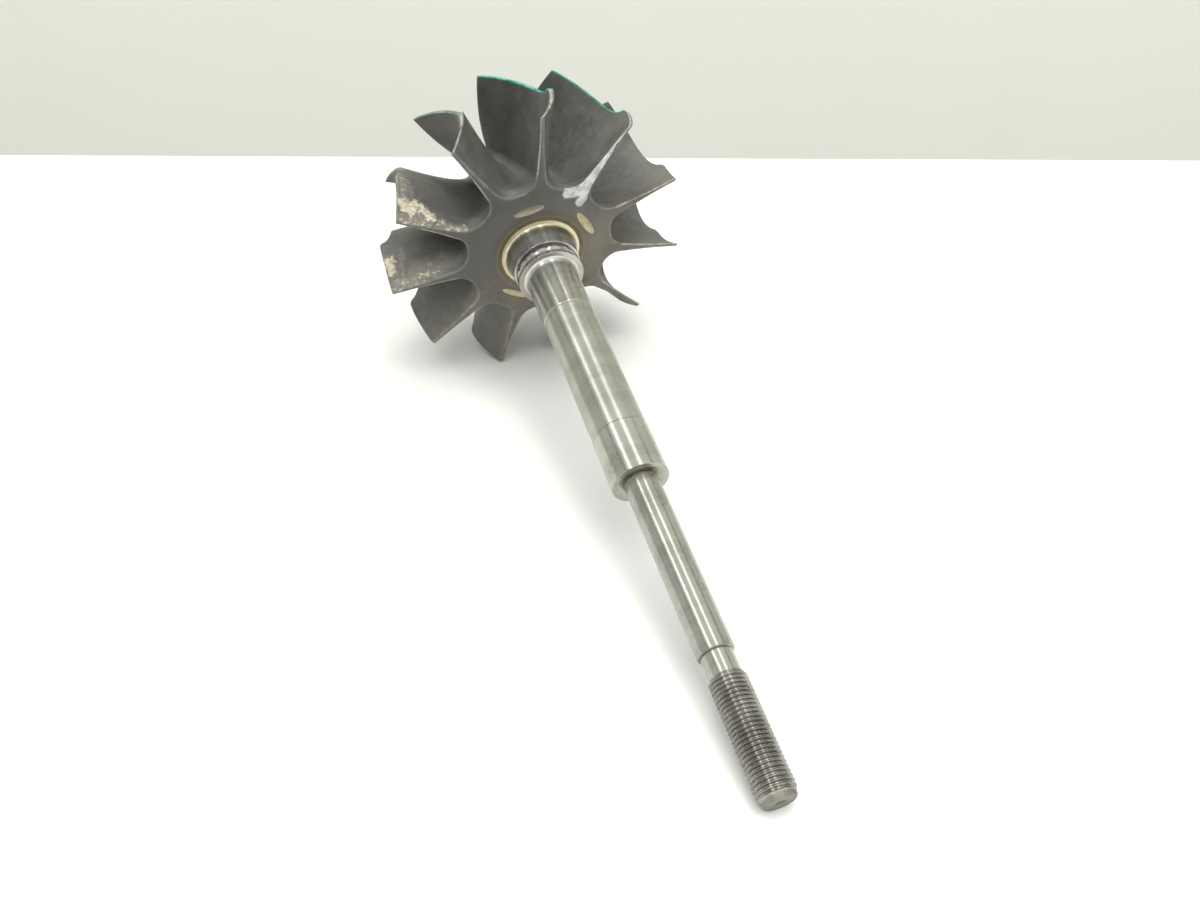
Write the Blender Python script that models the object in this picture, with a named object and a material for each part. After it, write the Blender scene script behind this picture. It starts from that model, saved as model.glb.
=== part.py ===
"""Turbine wheel of a turbocharger with its welded shaft, lying on a level floor.

Metres, +Z up. The rotor is modelled about the Y axis, with the shaft running towards -Y.
A station is the distance from the plane of the blades' rear corners towards the shaft end,
so it is negative on the wheel. At the end the rotor is laid down: it rests on the rear
corners of the two lowest blades and on the end of its thread.
"""

import math

import bmesh
import bpy
from mathutils import Matrix, Vector

# Neighbouring pieces keep this gap
GAP = 0.0003

# Blades, seen in the plane that holds the axis. The outer edge is a curve that starts
# inwards at the inlet's front corner and ends along the axis at the outlet tip.
BLADE_COUNT = 11
WHEEL_RADIUS = 0.048
INLET_WIDTH = 0.0154
OUTLET_RADIUS = 0.042
OUTLET_DEPTH = 0.0362
ROOT_DEPTH = 0.0410
SHROUD_PULL = 0.645

# Blade curve: degrees of turn about the axis, clockwise seen from the shaft side
LEAN_LINEAR = 978.0
LEAN_SQUARE = -25000.0
LEAN_CUBE = -341000.0

# Blade thickness: it grows from the free edges to the root, less so at the outlet
EDGE_THICKNESS = 0.0013
ROOT_THICKNESS = 0.0040
OUTLET_THINNING = 0.45
BLADE_ROWS = 8
BACK_STEPS = 4
ROOT_SINK = 0.0008

# Hub: its flow surface is a squashed quarter of an ellipse from the disc's rim to the outlet
DISC_RADIUS = 0.0278
DISC_RIM = 0.0016
SCALLOP_FLOOR = 0.0238
SCALLOP_RADIUS = 0.0068
SCALLOP_LENGTH = 0.030
SCALLOP_SEGMENTS = 20
HUB_OUTLET_RADIUS = 0.0132
HUB_LENGTH = 0.0418
HUB_DEPTH_POWER = 0.8
HUB_RADIUS_POWER = 1.3
HUB_STEPS = 9
HUB_SEGMENTS = 66
BACK_DISH_STATION = 0.0010
BACK_DISH_RADIUS = 0.0165
BACK_RIM_STATION = 0.0002

# Nose on the outlet side: a short step down, then a plain boss
NOSE_LENGTH = 0.0060
NOSE_RADIUS = 0.0095
NOSE_EDGE = 0.0012
NOSE_STEP = 0.0025

# Balance cuts on the back of the hub: blade pitches clockwise from the top blade
BALANCE_CUTS = (-0.5, 1.7, 6.45)
BALANCE_RADIUS = 0.0180
GRINDER_RADIUS = 0.0062
GRINDER_WIDTH = 0.0028
GRINDER_HEIGHT = 0.0065
GRINDER_TILT = -25.0
GRINDER_SEGMENTS = 32

# Shaft: stations where the pieces end, and their radii
WELD_START = 0.0011
WELD_RADIUS = 0.0126
BOSS_START = 0.0022
BOSS_RADIUS = 0.0106
GROOVE_START = 0.0084
GROOVE_RADIUS = 0.0088
LAND_START = 0.0095
LAND_RADIUS = 0.0104
LAND_CHAMFER = 0.0004
LIP_START = 0.0113
LIP_RADIUS = 0.0107
JOURNAL_START = 0.0129
JOURNAL_RADIUS = 0.0079375
JOURNAL_FILLET = 0.0015
RELIEF_START = 0.0319
RELIEF_RADIUS = 0.0078
RELIEF_END = 0.0785
SHOULDER = 0.0946
SOCKET_DEPTH = 0.0006
SPINDLE_RADIUS = 0.00474
SPINDLE_END = 0.1466
NECK_RADIUS = 0.0040
THREAD_START = 0.1525
SHAFT_END = 0.1825
SHAFT_SEGMENTS = 40
CHAMFER = 0.0005

# Nut thread, 3/8 inch fine: 24 turns to the inch
THREAD_RADIUS = 0.00474
THREAD_PITCH = 0.0254 / 24
THREAD_DEPTH = 0.00062
THREAD_TURNS = 27
THREAD_END = THREAD_START + THREAD_TURNS * THREAD_PITCH
THREAD_SEGMENTS = 20
CENTRE_HOLE_RADIUS = 0.0014
CENTRE_HOLE_DEPTH = 0.0030


def clear_scene():
    for old in list(bpy.data.objects):
        bpy.data.objects.remove(old, do_unlink=True)


def make_material(name, colour, roughness, metallic):
    material = bpy.data.materials.new(name)
    material.use_nodes = True
    shader = material.node_tree.nodes["Principled BSDF"]
    shader.inputs["Base Color"].default_value = (*colour, 1.0)
    shader.inputs["Roughness"].default_value = roughness
    shader.inputs["Metallic"].default_value = metallic
    material.diffuse_color = (*colour, 1.0)
    return material


def add_node(name, mesh, material, parent):
    node = bpy.data.objects.new(name, mesh)
    bpy.context.scene.collection.objects.link(node)
    if material.name not in mesh.materials:
        mesh.materials.append(material)
    node.parent = parent
    return node


def mesh_of(form, name):
    """The finished mesh of a bmesh, with its faces pointing out and its round sides smooth."""
    bmesh.ops.recalc_face_normals(form, faces=form.faces)
    mesh = bpy.data.meshes.new(name)
    form.to_mesh(mesh)
    form.free()
    mesh.shade_smooth()
    mesh.set_sharp_from_angle(angle=math.radians(35))
    return mesh


def turned_form(profile, segments):
    """A solid turned about the Y axis from (station, radius) points that end on the axis."""
    form = bmesh.new()
    points = [form.verts.new((0.0, -station, radius)) for station, radius in profile]
    edges = [form.edges.new(pair) for pair in zip(points, points[1:])]
    bmesh.ops.spin(
        form,
        geom=points + edges,
        cent=(0, 0, 0),
        axis=(0, 1, 0),
        angle=2 * math.pi,
        steps=segments,
        use_merge=True,
    )
    bmesh.ops.remove_doubles(form, verts=form.verts, dist=1e-7)
    return form


def turned_node(name, outline, material, parent, segments=SHAFT_SEGMENTS):
    """A turned piece from its outer (station, radius) points, closed flat at both ends."""
    profile = [(outline[0][0], 0.0), *outline, (outline[-1][0], 0.0)]
    return add_node(name, mesh_of(turned_form(profile, segments), name), material, parent)


def cut(node, cutter):
    """Takes the cutter's shape out of the node."""
    cutter.hide_render = True
    cutter.display_type = "WIRE"
    modifier = node.modifiers.new(cutter.name, "BOOLEAN")
    modifier.operation = "DIFFERENCE"
    modifier.solver = "EXACT"
    modifier.object = cutter


def lean(depth):
    """Turn of the blade about the axis, in radians, at a depth in front of the rear corners."""
    return math.radians(LEAN_LINEAR * depth + LEAN_SQUARE * depth**2 + LEAN_CUBE * depth**3)


def hub_point(turn):
    """(depth, radius) on the hub's flow surface, at an angle of its quarter ellipse."""
    depth = DISC_RIM + (ROOT_DEPTH - DISC_RIM) * (1 - math.cos(turn)) ** HUB_DEPTH_POWER
    fall = (1 - math.sin(turn)) ** HUB_RADIUS_POWER
    return depth, HUB_OUTLET_RADIUS + (DISC_RADIUS - HUB_OUTLET_RADIUS) * fall


def hub_outline():
    """Flow surface of the hub as (depth, radius) points, from the disc's rim to the outlet."""
    return [hub_point(math.pi / 2 * step / HUB_STEPS) for step in range(HUB_STEPS + 1)]


def hub_radius(depth):
    """Radius of the hub's flow surface at a depth."""
    travel = (depth - DISC_RIM) / (ROOT_DEPTH - DISC_RIM)
    travel = max(0.0, min(1.0, travel))
    return hub_point(math.acos(1 - travel ** (1 / HUB_DEPTH_POWER)))[1]


def shroud_point(share):
    """(depth, radius) on the blade's outer edge, from the inlet's front corner to the outlet."""
    start = Vector((INLET_WIDTH, WHEEL_RADIUS))
    end = Vector((OUTLET_DEPTH, OUTLET_RADIUS))
    inwards = start + Vector((0.0, SHROUD_PULL * (OUTLET_RADIUS - WHEEL_RADIUS)))
    along = end - Vector((SHROUD_PULL * (OUTLET_DEPTH - INLET_WIDTH), 0.0))
    rest = 1 - share
    return rest**3 * start + 3 * rest**2 * share * inwards + 3 * rest * share**2 * along + share**3 * end


def fullness(depth, radius):
    """0 at the blade's free edge and 1 at its root, less towards the outlet."""
    height = (WHEEL_RADIUS - radius) / (WHEEL_RADIUS - hub_radius(depth))
    thinning = OUTLET_THINNING * (depth / ROOT_DEPTH) ** 2
    return max(0.0, min(1.0, height)) ** 2 * (1 - thinning)


def root_outline():
    """The blade's inner edge: in from the rear corner, then a little under the hub's surface."""
    reach = WHEEL_RADIUS - DISC_RADIUS
    back = [(0.0, WHEEL_RADIUS - reach * step / BACK_STEPS) for step in range(BACK_STEPS)]
    return back + [(depth, radius - ROOT_SINK) for depth, radius in hub_outline()]


def blade_mesh():
    """One blade as a sheet of points with a thickness that grows towards the root."""
    form = bmesh.new()
    weights = form.verts.layers.deform.new()
    root = root_outline()
    columns = len(root) - 1
    made = bmesh.ops.create_grid(form, x_segments=columns, y_segments=BLADE_ROWS, size=0.5)
    for corner in made["verts"]:
        share = corner.co.x + 0.5
        height = corner.co.y + 0.5
        inner = root[round(share * columns)]
        outer = shroud_point(share)
        depth = inner[0] + (outer[0] - inner[0]) * height
        radius = inner[1] + (outer[1] - inner[1]) * height
        turn = lean(depth)
        corner.co = (radius * math.sin(turn), depth, radius * math.cos(turn))
        corner[weights][0] = fullness(depth, radius)
    mesh = bpy.data.meshes.new("blade")
    form.to_mesh(mesh)
    form.free()
    mesh.shade_smooth()
    return mesh


def root_cutter(material, parent):
    """The hub's outer shape with the gap added, which trims the blades' roots."""
    behind = 0.003
    room = 1.5 * GAP
    front = [(-depth - GAP, radius + room) for depth, radius in hub_outline()]
    last = -(ROOT_DEPTH + behind)
    profile = [(behind, 0.0), (behind, DISC_RADIUS + room), *front]
    profile += [(last, HUB_OUTLET_RADIUS + room), (last, 0.0)]
    form = turned_form(profile, HUB_SEGMENTS)
    return add_node("root_cutter", mesh_of(form, "root_cutter"), material, parent)


def add_blades(material, parent):
    mesh = blade_mesh()
    trimmer = root_cutter(material, parent)
    for number in range(BLADE_COUNT):
        blade = add_node(f"blade_{number + 1:02d}", mesh, material, parent)
        if "fullness" not in blade.vertex_groups:
            blade.vertex_groups.new(name="fullness")
        blade.rotation_euler = (0, 2 * math.pi * number / BLADE_COUNT, 0)
        shell = blade.modifiers.new("thickness", "SOLIDIFY")
        shell.thickness = ROOT_THICKNESS
        shell.offset = 0.0
        shell.vertex_group = "fullness"
        shell.thickness_vertex_group = EDGE_THICKNESS / ROOT_THICKNESS
        cut(blade, trimmer)


def add_hub(material, parent):
    """Hub body with its back disc, cut by the scallops and the balance cuts."""
    back = [
        (WELD_START - GAP, WELD_RADIUS),
        (BACK_DISH_STATION, BACK_DISH_RADIUS),
        (BACK_RIM_STATION, DISC_RADIUS),
    ]
    front = [(-depth, radius) for depth, radius in hub_outline()]
    end = [(-HUB_LENGTH, HUB_OUTLET_RADIUS), (-HUB_LENGTH, 0.0)]
    outline = [(WELD_START - GAP, 0.0), *back, *front, *end]
    hub = add_node("wheel_hub", mesh_of(turned_form(outline, HUB_SEGMENTS), "wheel_hub"), material, parent)
    scallops = bmesh.new()
    for number in range(BLADE_COUNT):
        turn = 2 * math.pi * (number + 0.5) / BLADE_COUNT
        reach = SCALLOP_FLOOR + SCALLOP_RADIUS
        place = Matrix.Rotation(turn, 4, "Y") @ Matrix.Translation((0, 0, reach))
        bmesh.ops.create_cone(
            scallops,
            cap_ends=True,
            segments=SCALLOP_SEGMENTS,
            radius1=SCALLOP_RADIUS,
            radius2=SCALLOP_RADIUS,
            depth=SCALLOP_LENGTH,
            matrix=place @ Matrix.Rotation(math.pi / 2, 4, "X"),
        )
    cut(hub, add_node("scallop_cutter", mesh_of(scallops, "scallop_cutter"), material, parent))
    grinder = bmesh.new()
    for pitches in BALANCE_CUTS:
        turn = 2 * math.pi * pitches / BLADE_COUNT
        centre = Matrix.Translation((0, -GRINDER_HEIGHT, BALANCE_RADIUS))
        place = Matrix.Rotation(turn, 4, "Y") @ centre
        bmesh.ops.create_cone(
            grinder,
            cap_ends=True,
            segments=GRINDER_SEGMENTS,
            radius1=GRINDER_RADIUS,
            radius2=GRINDER_RADIUS,
            depth=GRINDER_WIDTH,
            matrix=place @ Matrix.Rotation(math.radians(GRINDER_TILT), 4, "X"),
        )
    cut(hub, add_node("balance_cutter", mesh_of(grinder, "balance_cutter"), material, parent))


def add_nose(material, parent):
    start = -(HUB_LENGTH + GAP)
    end = start - NOSE_LENGTH
    outline = [
        (start, HUB_OUTLET_RADIUS),
        (start - NOSE_STEP + NOSE_EDGE, HUB_OUTLET_RADIUS - NOSE_EDGE),
        (start - NOSE_STEP, NOSE_RADIUS),
        (end + CHAMFER, NOSE_RADIUS),
        (end, NOSE_RADIUS - CHAMFER),
        (end, CENTRE_HOLE_RADIUS),
        (end + CENTRE_HOLE_DEPTH, CENTRE_HOLE_RADIUS * 0.2),
    ]
    profile = [(start, 0.0), *outline, (end + CENTRE_HOLE_DEPTH, 0.0)]
    form = turned_form(profile, SHAFT_SEGMENTS)
    add_node("wheel_nose", mesh_of(form, "wheel_nose"), material, parent)


def add_shaft(materials, parent):
    """The turned pieces between the weld and the thread."""
    pale, polished, ground = materials["weld"], materials["polished"], materials["ground"]
    weld = [(WELD_START, WELD_RADIUS), (BOSS_START - GAP, BOSS_RADIUS + GAP)]
    turned_node("weld_ring", weld, pale, parent)
    boss = [(BOSS_START, BOSS_RADIUS), (GROOVE_START - GAP, BOSS_RADIUS)]
    turned_node("seal_boss", boss, polished, parent)
    groove = [(GROOVE_START, GROOVE_RADIUS), (LAND_START - GAP, GROOVE_RADIUS)]
    turned_node("ring_groove", groove, ground, parent)
    land = [
        (LAND_START, LAND_RADIUS),
        (LIP_START - GAP - LAND_CHAMFER, LAND_RADIUS),
        (LIP_START - GAP, LAND_RADIUS - LAND_CHAMFER),
    ]
    turned_node("seal_land", land, ground, parent)
    lip = [
        (LIP_START, LIP_RADIUS - LAND_CHAMFER),
        (LIP_START + LAND_CHAMFER, LIP_RADIUS),
        (JOURNAL_START - GAP - LAND_CHAMFER, LIP_RADIUS),
        (JOURNAL_START - GAP, LIP_RADIUS - LAND_CHAMFER),
    ]
    turned_node("seal_lip", lip, ground, parent)
    first = [
        (JOURNAL_START, JOURNAL_RADIUS + JOURNAL_FILLET / 2),
        (JOURNAL_START + JOURNAL_FILLET, JOURNAL_RADIUS),
        (RELIEF_START - GAP, JOURNAL_RADIUS),
    ]
    turned_node("turbine_journal", first, ground, parent)
    middle = [(RELIEF_START, RELIEF_RADIUS), (RELIEF_END - GAP, RELIEF_RADIUS)]
    turned_node("relieved_middle", middle, ground, parent)
    socket_floor = SHOULDER - SOCKET_DEPTH
    second = [
        (RELIEF_END, JOURNAL_RADIUS),
        (SHOULDER - CHAMFER, JOURNAL_RADIUS),
        (SHOULDER, JOURNAL_RADIUS - CHAMFER),
        (SHOULDER, SPINDLE_RADIUS + GAP),
        (socket_floor, SPINDLE_RADIUS + GAP),
    ]
    turned_node("compressor_journal", second, ground, parent)
    spindle = [
        (socket_floor + GAP, SPINDLE_RADIUS),
        (SPINDLE_END - GAP - CHAMFER, SPINDLE_RADIUS),
        (SPINDLE_END - GAP, SPINDLE_RADIUS - CHAMFER),
    ]
    turned_node("shaft_spindle", spindle, ground, parent)
    neck = [(SPINDLE_END, NECK_RADIUS), (THREAD_START - GAP, NECK_RADIUS)]
    turned_node("thread_neck", neck, ground, parent)


def add_thread(material, parent):
    """A helical ridge: rings of points that climb by one pitch in a turn, closed by flat ends."""
    root = THREAD_RADIUS - THREAD_DEPTH
    ridge = ((0.0, root), (0.40, THREAD_RADIUS), (0.55, THREAD_RADIUS), (0.95, root))
    rows = [(turn + share, radius) for turn in range(THREAD_TURNS - 1) for share, radius in ridge]
    form = bmesh.new()
    rings = []
    for step in range(THREAD_SEGMENTS):
        part = step / THREAD_SEGMENTS
        angle = 2 * math.pi * part
        column = []
        for climb, radius in rows:
            station = THREAD_START + THREAD_PITCH * (climb + part)
            column.append(form.verts.new((radius * math.sin(angle), -station, radius * math.cos(angle))))
        rings.append(column)
    climb_rows = len(ridge)
    for step in range(THREAD_SEGMENTS):
        here = rings[step]
        last = step == THREAD_SEGMENTS - 1
        there = rings[0][climb_rows:] if last else rings[step + 1]
        for low in range(min(len(here), len(there)) - 1):
            form.faces.new((here[low], here[low + 1], there[low + 1], there[low]))
    start_loop = [column[0] for column in rings] + rings[0][climb_rows:0:-1]
    end_loop = [column[-1] for column in rings] + rings[-1][-2 : -climb_rows - 2 : -1]
    for loop, station in ((start_loop, THREAD_START), (end_loop, THREAD_END)):
        centre = form.verts.new((0.0, -station, 0.0))
        for first, second in zip(loop, loop[1:] + loop[:1]):
            form.faces.new((first, second, centre))
    add_node("shaft_thread", mesh_of(form, "shaft_thread"), material, parent)


def add_thread_end(material, parent):
    """Plain chamfered end of the shaft with its centre-drill hole."""
    root = THREAD_RADIUS - THREAD_DEPTH
    profile = [
        (THREAD_END + GAP, 0.0),
        (THREAD_END + GAP, root),
        (SHAFT_END - CHAMFER, root),
        (SHAFT_END, root - CHAMFER),
        (SHAFT_END, CENTRE_HOLE_RADIUS),
        (SHAFT_END - CENTRE_HOLE_DEPTH * 0.4, CENTRE_HOLE_RADIUS * 0.5),
        (SHAFT_END - CENTRE_HOLE_DEPTH * 0.4, 0.0),
    ]
    form = turned_form(profile, SHAFT_SEGMENTS)
    add_node("thread_end", mesh_of(form, "thread_end"), material, parent)


def world_corners(parent):
    """World positions of every visible piece's points, with its modifiers."""
    bpy.context.view_layer.update()
    graph = bpy.context.evaluated_depsgraph_get()
    corners = []
    for node in parent.children:
        if node.hide_render:
            continue
        shape = node.evaluated_get(graph)
        corners += [shape.matrix_world @ corner.co for corner in shape.data.vertices]
    return corners


def lay_down(parent):
    """Turns the rotor so that two blade corners and the thread's end touch the floor."""
    half_pitch = math.pi / BLADE_COUNT
    wheel_reach = WHEEL_RADIUS * math.cos(half_pitch)
    slope = math.asin((wheel_reach - THREAD_RADIUS) / THREAD_END)
    parent.rotation_euler = (slope, 0, 0)
    corners = world_corners(parent)
    low = Vector([min(corner[axis] for corner in corners) for axis in range(3)])
    high = Vector([max(corner[axis] for corner in corners) for axis in range(3)])
    parent.location = (-(low.x + high.x) / 2, -(low.y + high.y) / 2, -low.z)


def main():
    clear_scene()
    rotor = bpy.data.objects.new("rotor", None)
    bpy.context.scene.collection.objects.link(rotor)
    cast = make_material("cast alloy", (0.085, 0.078, 0.070), 0.55, 0.8)
    materials = {
        "weld": make_material("weld ring", (0.55, 0.50, 0.36), 0.45, 0.6),
        "polished": make_material("tinted steel", (0.22, 0.21, 0.22), 0.2, 1.0),
        "ground": make_material("ground steel", (0.45, 0.44, 0.41), 0.25, 1.0),
    }
    thread_steel = make_material("thread steel", (0.16, 0.165, 0.15), 0.35, 1.0)
    add_hub(cast, rotor)
    add_nose(cast, rotor)
    add_blades(cast, rotor)
    add_shaft(materials, rotor)
    add_thread(thread_steel, rotor)
    add_thread_end(materials["ground"], rotor)
    lay_down(rotor)


main()
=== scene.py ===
import math
import bmesh
import bpy
from mathutils import Euler, Matrix, Vector


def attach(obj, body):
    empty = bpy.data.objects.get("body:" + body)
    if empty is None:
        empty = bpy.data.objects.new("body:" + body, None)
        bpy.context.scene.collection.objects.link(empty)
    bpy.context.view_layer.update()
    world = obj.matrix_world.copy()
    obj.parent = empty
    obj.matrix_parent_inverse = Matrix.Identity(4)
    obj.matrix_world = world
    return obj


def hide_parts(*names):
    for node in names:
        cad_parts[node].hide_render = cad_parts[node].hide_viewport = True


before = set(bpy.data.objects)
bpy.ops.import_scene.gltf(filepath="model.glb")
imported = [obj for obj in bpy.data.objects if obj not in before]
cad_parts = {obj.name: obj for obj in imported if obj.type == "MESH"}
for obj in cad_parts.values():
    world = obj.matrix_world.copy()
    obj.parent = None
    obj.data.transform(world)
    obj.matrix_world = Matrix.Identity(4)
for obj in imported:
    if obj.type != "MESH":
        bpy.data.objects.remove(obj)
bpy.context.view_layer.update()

print("frame loaded:", len(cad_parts), "solids")

# The rotor is made about the Y axis with the shaft towards -Y, then laid down with one matrix.
# A station is a distance from the blades' rear corners towards the shaft end, a depth the other way.
rotor = {
    "slope": math.radians(13.18880),
    "place": Vector((0.00020578, 0.0648136, 0.0457012)),
    "blades": 11,
}
layDown = Matrix.Translation(rotor["place"]) @ Matrix.Rotation(rotor["slope"], 4, "X")
pitch = 2 * math.pi / rotor["blades"]


# Helpers for meshes
def makePiece(form, name, materials, replaced, sharp=38):
    bmesh.ops.transform(form, matrix=layDown, verts=form.verts)
    mesh = bpy.data.meshes.new(name)
    form.to_mesh(mesh)
    form.free()
    for material in materials:
        mesh.materials.append(material)
    mesh.shade_smooth()
    mesh.set_sharp_from_angle(angle=math.radians(sharp))
    piece = bpy.data.objects.new(name, mesh)
    bpy.context.scene.collection.objects.link(piece)
    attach(piece, "root")
    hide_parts(*replaced)
    return piece


def turnedForm(profile, steps):
    # (station, radius) points spun round the axis; the profile starts and ends on it
    form = bmesh.new()
    points = [form.verts.new((0, -station, radius)) for station, radius in profile]
    edges = [form.edges.new(pair) for pair in zip(points, points[1:])]
    bmesh.ops.spin(form, geom=points + edges, cent=(0, 0, 0), axis=(0, 1, 0),
                   angle=2 * math.pi, steps=steps, use_merge=True)
    bmesh.ops.remove_doubles(form, verts=form.verts, dist=1e-7)
    bmesh.ops.recalc_face_normals(form, faces=form.faces)
    return form


def easeEdges(form, width, segments=2, angle=35):
    # small rounding on every edge that turns by more than the angle
    edges = [edge for edge in form.edges
             if len(edge.link_faces) == 2 and edge.calc_face_angle() > math.radians(angle)
             and edge.verts[0].co.xz.length > 0.0005]
    bmesh.ops.bevel(form, geom=edges, offset=width, offset_type="OFFSET", affect="EDGES",
                    segments=segments, profile=0.5, material=-1, clamp_overlap=True)


# Helpers for materials
def addNode(tree, kind, inputs=None, **settings):
    node = tree.nodes.new(kind)
    for key, value in settings.items():
        setattr(node, key, value)
    for key, value in (inputs or {}).items():
        if isinstance(value, bpy.types.NodeSocket):
            tree.links.new(value, node.inputs[key])
        else:
            node.inputs[key].default_value = value
    return node


def newMaterial(name):
    material = bpy.data.materials.new(name)
    material.use_nodes = True
    return material, material.node_tree, material.node_tree.nodes["Principled BSDF"]


def maths(tree, operation, first, second=0.0, clamp=False):
    return addNode(tree, "ShaderNodeMath", {0: first, 1: second}, operation=operation, use_clamp=clamp).outputs[0]


def vectorMaths(tree, operation, first, second, output="Vector"):
    return addNode(tree, "ShaderNodeVectorMath", {0: first, 1: second}, operation=operation).outputs[output]


def within(tree, value, low, high):
    # 0 at low, 1 at high, smooth between them; low may be the larger one
    return addNode(tree, "ShaderNodeMapRange", {"Value": value, "From Min": low, "From Max": high},
                   interpolation_type="SMOOTHSTEP").outputs[0]


def noise(tree, place, scale, detail=3.0, roughness=0.55, distortion=0.0):
    return addNode(tree, "ShaderNodeTexNoise", {"Vector": place, "Scale": scale, "Detail": detail,
                                                "Roughness": roughness, "Distortion": distortion}).outputs[0]


def tint(tree, share, first, second):
    inputs = {0: share}
    for socket, colour in ((6, first), (7, second)):
        inputs[socket] = (*colour, 1) if isinstance(colour, tuple) else colour
    return addNode(tree, "ShaderNodeMix", inputs, data_type="RGBA").outputs[2]


def painted(tree, name):
    return addNode(tree, "ShaderNodeAttribute", attribute_name=name).outputs["Fac"]


def relief(tree, height, distance, strength, under=None):
    inputs = {"Height": height, "Distance": distance, "Strength": strength}
    if under:
        inputs["Normal"] = under
    return addNode(tree, "ShaderNodeBump", inputs).outputs[0]


def rotorPlace(tree):
    # the rotor's own coordinates, read back from the lying piece
    place = addNode(tree, "ShaderNodeTexCoord").outputs["Object"]
    local = addNode(tree, "ShaderNodeMapping", {"Vector": place, "Location": rotor["place"],
                                                "Rotation": (rotor["slope"], 0, 0)},
                    vector_type="TEXTURE").outputs[0]
    x, y, z = addNode(tree, "ShaderNodeSeparateXYZ", {0: local}).outputs[:3]
    station = maths(tree, "MULTIPLY", y, -1.0)
    flat = vectorMaths(tree, "MULTIPLY", local, (1, 0, 1))
    radius = vectorMaths(tree, "LENGTH", flat, (0, 0, 0), "Value")
    return local, x, z, station, radius


def strokeCover(tree, place, strokes, ragged, outer, inner):
    # how far smears and drips cover a spot: each stroke is a row of points, a half width and a strength;
    # cover starts at the outer share of that half width and is full at the inner one
    cover = None
    for points, reach, strength in strokes:
        nearest = None
        for start, end in zip(points, points[1:]):
            run = Vector((*end, 0)) - Vector((*start, 0))
            offset = vectorMaths(tree, "SUBTRACT", place, (*start, 0))
            share = vectorMaths(tree, "DOT_PRODUCT", offset, run / run.length_squared, "Value")
            foot = addNode(tree, "ShaderNodeVectorMath", {0: run, "Scale": maths(tree, "ADD", share, 0.0, True)},
                           operation="SCALE").outputs[0]
            gap = vectorMaths(tree, "DISTANCE", offset, foot, "Value")
            nearest = maths(tree, "MINIMUM", nearest, gap) if nearest else gap
        share = within(tree, maths(tree, "ADD", nearest, ragged), reach * outer, reach * inner)
        share = maths(tree, "MULTIPLY", share, strength)
        cover = maths(tree, "MAXIMUM", cover, share) if cover else share
    return cover


# Smears on the casting, in metres
# chalk: across the second blade's rear edge (clockwise is positive), then the radius
chalkRub = (
    (((0.0006, 0.0474), (0.0001, 0.0449), (-0.0006, 0.0426), (-0.0004, 0.0402)), 0.0006, 0.85),
    (((-0.0002, 0.0396), (0.0, 0.0350)), 0.0013, 1.0),
    (((0.0, 0.0350), (0.0001, 0.0300)), 0.0018, 1.0),
    (((0.0, 0.0300), (-0.0002, 0.0244)), 0.0023, 1.0),
    (((-0.0010, 0.0240), (-0.0026, 0.0229), (-0.0042, 0.0219)), 0.0017, 1.0),
    (((0.0006, 0.0250), (0.0012, 0.0226), (0.0012, 0.0209)), 0.0015, 1.0),
)
# burnt-on scale of the two left-hand blades: depth, then the radius
leftScale = (
    (((0.0050, 0.0466), (0.0042, 0.0450), (0.0034, 0.0436)), 0.0017, 1.0),
    (((0.0052, 0.0430), (0.0043, 0.0400), (0.0026, 0.0376)), 0.0013, 0.95),
    (((0.0008, 0.0470), (0.0007, 0.0420), (0.0008, 0.0380)), 0.0014, 0.62),
    (((0.0030, 0.0425), (0.0018, 0.0390)), 0.0022, 0.60),
    (((0.0018, 0.0350), (0.0008, 0.0325), (0.0006, 0.0300), (0.0010, 0.0272)), 0.0009, 0.72),
    (((0.0140, 0.0468), (0.0095, 0.0466), (0.0060, 0.0462)), 0.0014, 0.55),
    (((0.0119, 0.0447), (0.0092, 0.0440), (0.0062, 0.0432)), 0.0008, 0.48),
)
lowerScale = (
    (((0.0078, 0.0464), (0.0058, 0.0466)), 0.0015, 1.1),
    (((0.0111, 0.0416), (0.0071, 0.0426), (0.0034, 0.0433)), 0.0007, 0.46),
    (((0.0018, 0.0463), (0.0014, 0.0433), (0.0020, 0.0399), (0.0022, 0.0376), (0.0018, 0.0352),
      (0.0019, 0.0329)), 0.0009, 0.66),
    (((0.0005, 0.0476), (0.0004, 0.0420), (0.0004, 0.0373)), 0.0010, 0.55),
    (((0.0034, 0.0390), (0.0036, 0.0330), (0.0050, 0.0300)), 0.0026, 0.50),
)


def burntScale(tree, station, radius, strokes, colour, look):
    # burnt-on scale on one face of a blade
    place = addNode(tree, "ShaderNodeTexCoord").outputs["Object"]
    spot = addNode(tree, "ShaderNodeCombineXYZ", {0: maths(tree, "MULTIPLY", station, -1.0), 1: radius}).outputs[0]
    # the crust's grain runs outwards along the blade
    crust = noise(tree, vectorMaths(tree, "MULTIPLY", spot, (1.0, 0.45, 0)), 1200.0, 5.0, 0.75)
    uneven = maths(tree, "SUBTRACT", crust, 0.5)
    drift = addNode(tree, "ShaderNodeTexNoise", {"Vector": place, "Scale": 700.0, "Detail": 3.0}).outputs["Color"]
    drift = vectorMaths(tree, "MULTIPLY", vectorMaths(tree, "SUBTRACT", drift, (0.5, 0.5, 0.5)), (0.004, 0.004, 0))
    spot = vectorMaths(tree, "ADD", spot, drift)
    share = strokeCover(tree, spot, strokes, maths(tree, "MULTIPLY", uneven, 0.0015), 1.8, 0.5)
    colour = tint(tree, maths(tree, "MULTIPLY", share, look["scaleShare"]), colour, look["scale"])
    scaled = within(tree, maths(tree, "ADD", share, maths(tree, "MULTIPLY", uneven, 2.4)), 0.60, 1.0)
    crustTone = tint(tree, within(tree, crust, 0.40, 0.66), look["straw"], look["cream"])
    return tint(tree, maths(tree, "MULTIPLY", scaled, 0.9), colour, crustTone), scaled


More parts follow.
